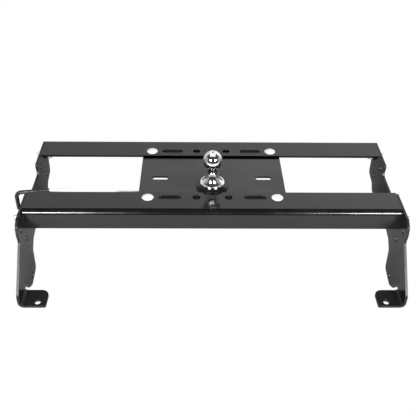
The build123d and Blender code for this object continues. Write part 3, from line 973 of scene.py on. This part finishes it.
@dataclass
class Welder:
    """Lays weld beads: overlapping puddles along a path, coated with the rest."""

    finishes: Finishes
    radius: float = 0.0032
    puddle: float = 0.0026
    step: float = 0.0008
    sides: int = 10
    seed: int = 7

    def resample(self, path: Sequence[Vector]) -> list[Vector]:
        """Spaces a path evenly.

        Args:
            path: its corners.

        Returns:
            Points one step apart.
        """
        points, carried = [path[0].copy()], 0.0
        for start, end in zip(path, path[1:]):
            span = (end - start).length
            at = self.step - carried
            while at <= span:
                points.append(start.lerp(end, at / span))
                at += self.step
            carried = span - (at - self.step)
        return points

    def bead(self, path: Sequence[Vector], closed: bool, size: float) -> Mesh:
        """Builds one bead.

        Args:
            path: the line of the joint.
            closed: True if the path comes back to its start.
            size: the bead's size against the usual one.

        Returns:
            The bead's mesh.
        """
        draw = random.Random(self.seed + len(path))
        points = self.resample(path)
        last, count = len(points) - 1, int(len(points) * self.step / self.puddle) + 3
        puddles = [draw.uniform(0.92, 1.08) for _ in range(count)]
        mesh, rings = bmesh.new(), []
        for number, point in enumerate(points):
            before, after = points[max(number - 1, 0)], points[min(number + 1, last)]
            if closed and number in (0, last):
                before, after = points[-2], points[1]
            along = (after - before).normalized()
            upright = abs(along.z) > 0.9
            side = (along.orthogonal() if upright else along.cross(UP)).normalized()
            over = side.cross(along)
            count, share = divmod(number * self.step / self.puddle, 1.0)
            crest = 0.2 * math.sqrt(share) * min(1.0, (1 - share) * 10)
            swell = puddles[int(count)] * (0.86 + crest)
            if not closed:
                swell *= min(1.0, 0.4 + min(number, last - number) * 0.25)
            reach = self.radius * size * swell
            ring = []
            for turn in range(self.sides):
                angle = FULL_TURN * turn / self.sides
                outward = math.cos(angle) * side + math.sin(angle) * over
                ring.append(mesh.verts.new(point + reach * outward))
            rings.append(ring)
        for low, high in list(zip(rings, rings[1:])) + ([(rings[-1], rings[0])] if closed else []):
            for turn in range(self.sides):
                after = (turn + 1) % self.sides
                mesh.faces.new((low[turn], low[after], high[after], high[turn]))
        if not closed:
            mesh.faces.new(rings[0])
            mesh.faces.new(rings[-1])
        return mesh

    def lay(
        self, name: str, *paths: Sequence[Vector], closed: bool = False, size: float = 1.0
    ) -> None:
        """Lays beads along paths, which may be closed, and adds them as one piece."""
        mesh = join(*(self.bead(path, closed, size) for path in paths))
        Piece(name, mesh, self.finishes.weld_coat, Slot.COAT, sharp_from=60.0).place()


def arc(
    radius: float, height: float, start: float = 0, end: float = 360, steps: int = 72
) -> list[Vector]:
    """Points round the socket's axis, with the angles in degrees."""
    return [Vector((x, y, height)) for x, y in bow((0.0, 0.0), radius, start, end, steps)]


@dataclass
class Socket:
    """The ball socket under the head plate, with its gussets, latch housing and welds."""

    finishes: Finishes
    welder: Welder
    radius: float = 0.0455
    gusset_angles: tuple[int, ...] = (45, 135, 225, 315)
    gusset_half: float = 0.004
    gusset_reach: float = 0.042
    gusset_drop: float = 0.060
    gusset_gap: float = 0.004
    housing_radius: float = 0.019
    latch_height: float = -0.133

    def gusset_welds(self, under: float) -> list[list[Vector]]:
        """Lines of the beads on both sides of every gusset.

        Args:
            under: the head plate's lower face.

        Returns:
            The paths.
        """
        paths = []
        for angle in self.gusset_angles:
            turn = Matrix.Rotation(math.radians(angle), 4, "Z")
            for side in (-1, 1):
                y = side * self.gusset_half
                corners = [
                    (self.radius + 0.0003, y, under - self.gusset_drop),
                    (self.radius + 0.0003, y, under - 0.0008),
                    (self.radius + self.gusset_reach - 0.002, y, under - 0.0003),
                ]
                paths.append([turn @ Vector(corner) for corner in corners])
        return paths

    def housing_weld(self) -> list[Vector]:
        """The line where the latch housing meets the socket."""
        ring = bow((0.0, self.latch_height), self.housing_radius + 0.0004, 0, 360, 72)
        return [Vector((-math.sqrt(self.radius**2 - y**2) - 0.0005, y, z)) for y, z in ring]

    def build(self) -> None:
        """Dresses the socket and lays its welds."""
        plate_low, plate_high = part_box("head_plate")
        dress(["ball_socket", "latch_housing", "latch_housing_cap"], self.finishes.coat)
        dress([f"{corner}_gusset" for corner in CORNERS], self.finishes.coat)
        self.welder.lay("socket_top_weld", arc(self.radius, plate_high.z), closed=True)
        gap = math.degrees((self.gusset_half + self.gusset_gap) / self.radius)
        starts = [angle + gap for angle in self.gusset_angles]
        arcs = [arc(self.radius, plate_low.z, a, a + 90 - 2 * gap, 30) for a in starts]
        self.welder.lay("socket_under_weld", *arcs, size=1.25)
        self.welder.lay("gusset_welds", *self.gusset_welds(plate_low.z))
        self.welder.lay("housing_weld", self.housing_weld(), closed=True)
        cap_low, cap_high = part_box("latch_housing_cap")
        centre = ((cap_low.y + cap_high.y) / 2, self.latch_height)
        ring = bow(centre, self.housing_radius - 0.0004, 0, 360, 72)
        ring = [Vector((cap_high.x, y, z)) for y, z in ring]
        self.welder.lay("housing_cap_weld", ring, closed=True, size=0.6)


@dataclass
class Rails:
    """Both bent rails with the tabs welded in their ends."""

    finishes: Finishes
    welder: Welder
    bend_radius: float = 0.0115
    weld_end: float = 0.004

    def build(self) -> None:
        """Dresses the rails and tabs, and lays the tabs' welds."""
        dress(["front_rail", "rear_rail"], self.finishes.coat)
        for row in ROWS:
            outward = -1 if row == "front" else 1
            for side in SIDES:
                name = f"{row}_{side}_end_tab"
                dress([name], self.finishes.side_coat)
                low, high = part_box(name)
                x = min(low.x, high.x, key=abs)
                web, free = (low.y, high.y) if outward < 0 else (high.y, low.y)
                inner, end = web - outward * self.bend_radius, free + outward * self.weld_end
                flange = [Vector((x, inner, high.z)), Vector((x, end, high.z))]
                top, bottom = high.z - self.bend_radius, low.z + self.weld_end
                down = [Vector((x, web, top)), Vector((x, web, bottom))]
                self.welder.lay(f"{row}_{side}_tab_welds", flange, down)


@dataclass
class HeadPlate:
    """The head plate and the bracket that guides the rod under it."""

    finishes: Finishes
    welder: Welder
    weld_end: float = 0.003

    def build(self) -> None:
        """Dresses the plate and the bracket, and lays the bracket's welds."""
        # The head plate's coat is a lightened copy, as painted light in place of the softboxes it
        # is kept from.
        dress(["head_plate"], self.finishes.plate_coat_lightened)
        dress(["rod_guide_bracket"], self.finishes.side_coat)
        low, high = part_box("rod_guide_bracket")
        ends = (low.y + self.weld_end, high.y - self.weld_end)
        lines = [[Vector((x, y, high.z)) for y in ends] for x in (low.x, high.x)]
        self.welder.lay("guide_welds", *lines, size=0.8)


@dataclass
class SidePlates:
    """The cut side plates with their bent feet."""

    finishes: Finishes

    def build(self) -> None:
        """Dresses both plates."""
        dress([f"{side}_side_plate" for side in SIDES], self.finishes.side_coat)


@dataclass
class Latch:
    """The pin, spring, release rod, grip and cotter pin."""

    finishes: Finishes
    cotter_radius: float = 0.0008
    leg_offset: float = 0.00068

    def cotter(self) -> Mesh:
        """Builds the split pin: an eye and two legs that part behind the rod."""
        low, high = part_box("rod_cotter_pin")
        x, z = (low.x + high.x) / 2, (low.z + high.z) / 2
        eye, tail, half = high.y - 0.0030, low.y + 0.0006, self.leg_offset
        curve = bpy.data.curves.new("split_pin", "CURVE")
        curve.dimensions = "3D"
        curve.bevel_depth = self.cotter_radius
        curve.bevel_resolution = 3
        curve.use_fill_caps = True
        spline = curve.splines.new("NURBS")
        route = [
            (tail + 0.0012, -half - 0.0030),
            (tail + 0.0014, -half - 0.0012),
            (tail + 0.0030, -half),
            (eye - 0.0042, -half),
            (eye - 0.0022, -0.0016),
            (eye, -0.0030),
            (eye + 0.0026, -0.0024),
            (eye + 0.0032, 0.0),
            (eye + 0.0026, 0.0024),
            (eye, 0.0030),
            (eye - 0.0022, 0.0016),
            (eye - 0.0042, half),
            (tail + 0.0022, half),
            (tail + 0.0010, half + 0.0010),
            (tail + 0.0006, half + 0.0026),
        ]
        spline.points.add(len(route) - 1)
        for point, (y, dz) in zip(spline.points, route):
            point.co = (x, y, z + dz, 1.0)
        spline.order_u = 3
        spline.use_endpoint_u = True
        spline.resolution_u = 6
        carrier = bpy.data.objects.new("split_pin", curve)
        bpy.context.scene.collection.objects.link(carrier)
        bpy.context.view_layer.update()
        solid = bpy.data.meshes.new_from_object(carrier)
        mesh = bmesh.new()
        mesh.from_mesh(solid)
        bmesh.ops.remove_doubles(mesh, verts=mesh.verts[:], dist=0.00001)
        bpy.data.objects.remove(carrier)
        bpy.data.meshes.remove(solid)
        return mesh

    def build(self) -> None:
        """Dresses the latch's parts and builds the split pin."""
        dress(["latch_pin", "latch_spring_seat", "release_rod"], self.finishes.zinc)
        dress(["latch_spring"], self.finishes.spring)
        dress(["handle_grip"], self.finishes.vinyl)
        pin, zinc = self.cotter(), self.finishes.zinc
        Piece("split_pin", pin, zinc, Slot.ZINC, "latch", 60.0, ("rod_cotter_pin",)).place()


# Studio --------------------------------------------------------------------------------------
@dataclass(frozen=True)
class StudioCamera:
    place: tuple[float, float, float] = (-0.0473, -1.6456, 1.0449)
    yaw: float = 1.24
    pitch: float = 36.52
    roll: float = 0.89
    lens: float = 57.48

    def build(self) -> None:
        """Makes the camera and gives it to the scene."""
        yaw, pitch, roll = (math.radians(a) for a in (self.yaw, self.pitch, self.roll))
        level_forward = Vector((math.sin(yaw), math.cos(yaw), 0.0))
        forward = math.cos(pitch) * level_forward - math.sin(pitch) * UP
        level_right = Vector((math.cos(yaw), -math.sin(yaw), 0.0))
        level_up = level_right.cross(forward)
        right = math.cos(roll) * level_right + math.sin(roll) * level_up
        up = right.cross(forward)
        data = bpy.data.cameras.new("studio_camera")
        data.lens = self.lens
        camera = bpy.data.objects.new("studio_camera", data)
        turn = Matrix((right, up, -forward)).transposed().to_4x4()
        camera.matrix_world = Matrix.Translation(self.place) @ turn
        bpy.context.scene.collection.objects.link(camera)
        bpy.context.scene.camera = camera


@dataclass(frozen=True)
class Softbox:
    """A rectangular soft light."""

    name: str
    place: tuple[float, float, float]
    width: float
    height: float
    radiance: float
    aim: tuple[float, float, float] = (0.0, 0.0, -0.1)

    def build(self, linked: bpy.types.Collection) -> None:
        """Hangs the light and aims it.

        Args:
            linked: the pieces that it is kept off, or the only ones that it reaches.
        """
        data = bpy.data.lights.new(self.name, "AREA")
        data.shape = "RECTANGLE"
        data.size, data.size_y = self.width, self.height
        data.energy = self.radiance * math.pi * self.width * self.height
        lamp = bpy.data.objects.new(self.name, data)
        lamp.location = self.place
        lamp.rotation_mode = "QUATERNION"
        lamp.rotation_quaternion = (Vector(self.aim) - Vector(self.place)).to_track_quat("-Z", "Y")
        lamp.visible_camera = False
        lamp.light_linking.receiver_collection = linked
        bpy.context.scene.collection.objects.link(lamp)


@dataclass(frozen=True)
class Studio:
    """The pale floor, the bright wall behind, the dim room in front and the lights."""

    floor_half: float = 9.0
    floor_near: float = 0.76
    floor_painted_shade_under: float = 0.55
    floor_painted_shade_far: float = 0.12
    far_to_near: Band = (-1.4, -0.7)
    front_to_under: Band = (-0.45, -0.15)
    wall: float = 1.10
    wall_lean: float = 0.25
    lean_across: Band = (-0.45, 0.45)
    wall_top: Band = (0.63, 0.72)
    wall_front: Band = (0.20, 0.55)
    wall_foot: Band = (0.46, 0.60)
    foot_share: float = 0.74
    room: float = 0.07
    sides: float = 0.40
    sides_from: Band = (0.78, 0.94)
    wall_tint: Colour = (1.0, 0.965, 1.0)
    shaded: tuple[str, ...] = ("rear_rail", "head_plate")
    softboxes: tuple[Softbox, ...] = (
        Softbox("left_softbox", (-1.34, -2.45, 1.38), 1.06, 0.48, 76.0),
        Softbox("right_softbox", (1.50, -2.45, 1.38), 1.02, 0.48, 76.0),
    )
    ball_softbox: Softbox = Softbox("ball_softbox", (0.0, 0.45, 1.90), 2.0, 2.1, 1.05)

    def floor(self) -> None:
        """Lays the floor just under the feet: plain white to look at, and in what it lights and
        reflects a grey darkened as painted shade far in front and under the kit.
        """
        ground = CAD_BOX[0].z - 0.0004
        data = bpy.data.meshes.new("studio_floor")
        half = self.floor_half
        corners = [(x * half, y * half, ground) for x, y in ((-1, -1), (1, -1), (1, 1), (-1, 1))]
        data.from_pydata(corners, [], [(0, 1, 2, 3)])
        floor = bpy.data.objects.new("studio_floor", data)
        surface = Surface("pale floor", {"Roughness": 0.95, "Specular IOR Level": 0.1})
        wiring, shader = surface.wiring, surface.shader
        along = wiring.axes(surface.coordinates["Object"])["Y"]
        # Painted shade: the floor's colour, seen only in bounces and reflections, darkens far in
        # front and again under the kit.
        front = wiring.ramp(along, self.far_to_near, self.floor_painted_shade_far, self.floor_near)
        under = wiring.ramp(along, self.front_to_under, 1.0, self.floor_painted_shade_under)
        bright = wiring.math("MULTIPLY", front, under)
        grey = wiring.add("ShaderNodeCombineColor", {i: bright for i in range(3)}).outputs[0]
        wiring.feed(shader.inputs["Base Color"], grey)
        white = wiring.add("ShaderNodeEmission", {"Color": (*WHITE, 1.0), "Strength": 1.0})
        seen = wiring.add("ShaderNodeLightPath").outputs["Is Camera Ray"]
        parts = {0: seen, 1: shader.outputs[0], 2: white.outputs[0]}
        both = wiring.add("ShaderNodeMixShader", parts).outputs[0]
        wiring.feed(surface.material.node_tree.nodes["Material Output"].inputs["Surface"], both)
        data.materials.append(surface.material)
        bpy.context.scene.collection.objects.link(floor)

    def surroundings(self) -> None:
        """Lights the room: a bright wall behind, stronger to the right, and dim elsewhere."""
        world = bpy.data.worlds.new("studio")
        bpy.context.scene.world = world
        world.use_nodes = True
        wiring = Wiring(world.node_tree)
        way = wiring.axes(wiring.add("ShaderNodeTexCoord").outputs["Generated"])
        low = wiring.ramp(way["Z"], self.wall_top, 1.0, 0.0)
        behind = wiring.ramp(way["Y"], self.wall_front)
        left, right = self.wall * (1 - self.wall_lean), self.wall * (1 + self.wall_lean)
        wall = wiring.math("MULTIPLY", low, behind)
        for share in (
            wiring.ramp(way["X"], self.lean_across, left, right),
            wiring.ramp(way["Z"], self.wall_foot, self.foot_share, 1.0),
        ):
            wall = wiring.math("MULTIPLY", wall, share)
        aside = wiring.math("ABSOLUTE", way["X"])
        dim = wiring.ramp(aside, self.sides_from, self.room, self.sides)
        strength = wiring.math("ADD", wall, dim)
        seen = wiring.add("ShaderNodeLightPath").outputs["Is Camera Ray"]
        background = world.node_tree.nodes["Background"]
        shown = wiring.math("MULTIPLY_ADD", seen, wiring.math("SUBTRACT", 1.0, strength), strength)
        wiring.feed(background.inputs["Strength"], shown)
        wiring.feed(background.inputs["Color"], wiring.blend(seen, self.wall_tint, WHITE))

    def build(self) -> None:
        """Builds the stage."""
        self.floor()
        self.surroundings()
        shaded = bpy.data.collections.new("shaded_from_softboxes")
        for name in self.shaded:
            shaded.objects.link(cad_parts[name])
        for member in shaded.collection_objects:
            member.light_linking.link_state = "EXCLUDE"
        for softbox in self.softboxes:
            softbox.build(shaded)
        ball_only = bpy.data.collections.new("lit_by_ball_softbox")
        ball_only.objects.link(bpy.data.objects["chrome_ball"])
        self.ball_softbox.build(ball_only)
        bpy.context.scene.view_settings.view_transform = "Standard"


def main() -> None:
    logging.basicConfig(level=logging.INFO, format="%(name)s: %(message)s")
    StudioCamera().build()
    finishes = Finishes()
    welder = Welder(finishes)
    for part in (
        Rails(finishes, welder),
        HeadPlate(finishes, welder),
        SidePlates(finishes),
        Socket(finishes, welder),
        DeckFasteners(finishes),
        SideFasteners(finishes),
        Ball(finishes),
        Latch(finishes),
    ):
        part.build()
        LOG.info("finished %s", type(part).__name__)
    Studio().build()


if __name__ == "__main__":
    main()
